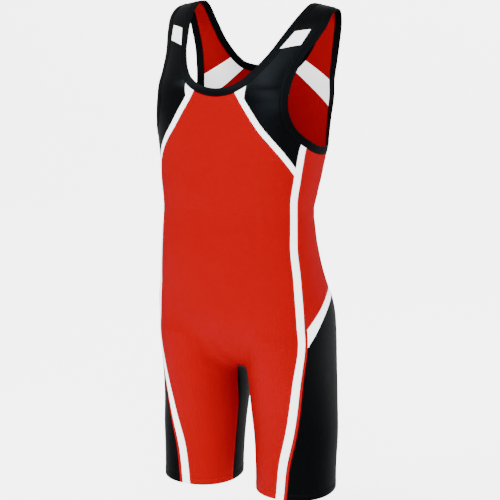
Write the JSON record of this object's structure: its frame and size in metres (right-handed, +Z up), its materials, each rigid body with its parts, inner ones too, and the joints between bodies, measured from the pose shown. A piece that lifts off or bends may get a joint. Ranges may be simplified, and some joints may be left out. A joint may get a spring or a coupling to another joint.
{
  "type": "wrestling singlet",
  "caption": "Sleeveless one-piece wrestling suit with bound neck and armholes, slanting stripes and short legs, filled out as if worn.",
  "frame": {"origin": "between the shoulders on the garment's middle plane, at the height of the straps' tops", "axes": "+Z up towards the shoulders, the front faces -Y, +X to the wearer's left"},
  "size_m": [0.3262, 0.2495, 0.8573],
  "materials": {
    "red_knit": "satin stretch knit",
    "black_knit": "satin stretch knit",
    "white_knit": "satin stretch knit",
    "black_binding": "folded elastic binding",
    "white_patch": "smooth transfer patch"
  },
  "bodies": {
    "root": {"front_panel": "red_knit", "back_panel": "red_knit", "side_panel_left": "red_knit", "side_panel_right": "red_knit", "leg_piping_left": "red_knit", "leg_piping_right": "red_knit", "back_strap_left": "red_knit", "back_strap_right": "red_knit", "chest_panel_left": "black_knit", "chest_panel_right": "black_knit", "leg_side_panel_left": "black_knit", "leg_side_panel_right": "black_knit", "inner_leg_gusset": "black_knit", "chest_stripe_left": "white_knit", "chest_stripe_right": "white_knit", "side_stripe_left": "white_knit", "side_stripe_right": "white_knit", "hip_band_left": "white_knit", "hip_band_right": "white_knit", "back_band_left": "white_knit", "back_band_right": "white_knit", "neck_binding_front": "black_binding", "neck_binding_back": "black_binding", "armhole_binding_front_left": "black_binding", "armhole_binding_front_right": "black_binding", "armhole_binding_back_left": "black_binding", "armhole_binding_back_right": "black_binding", "strap_patch_left": "white_patch", "strap_patch_right": "white_patch"}
  },
  "joints": []
}
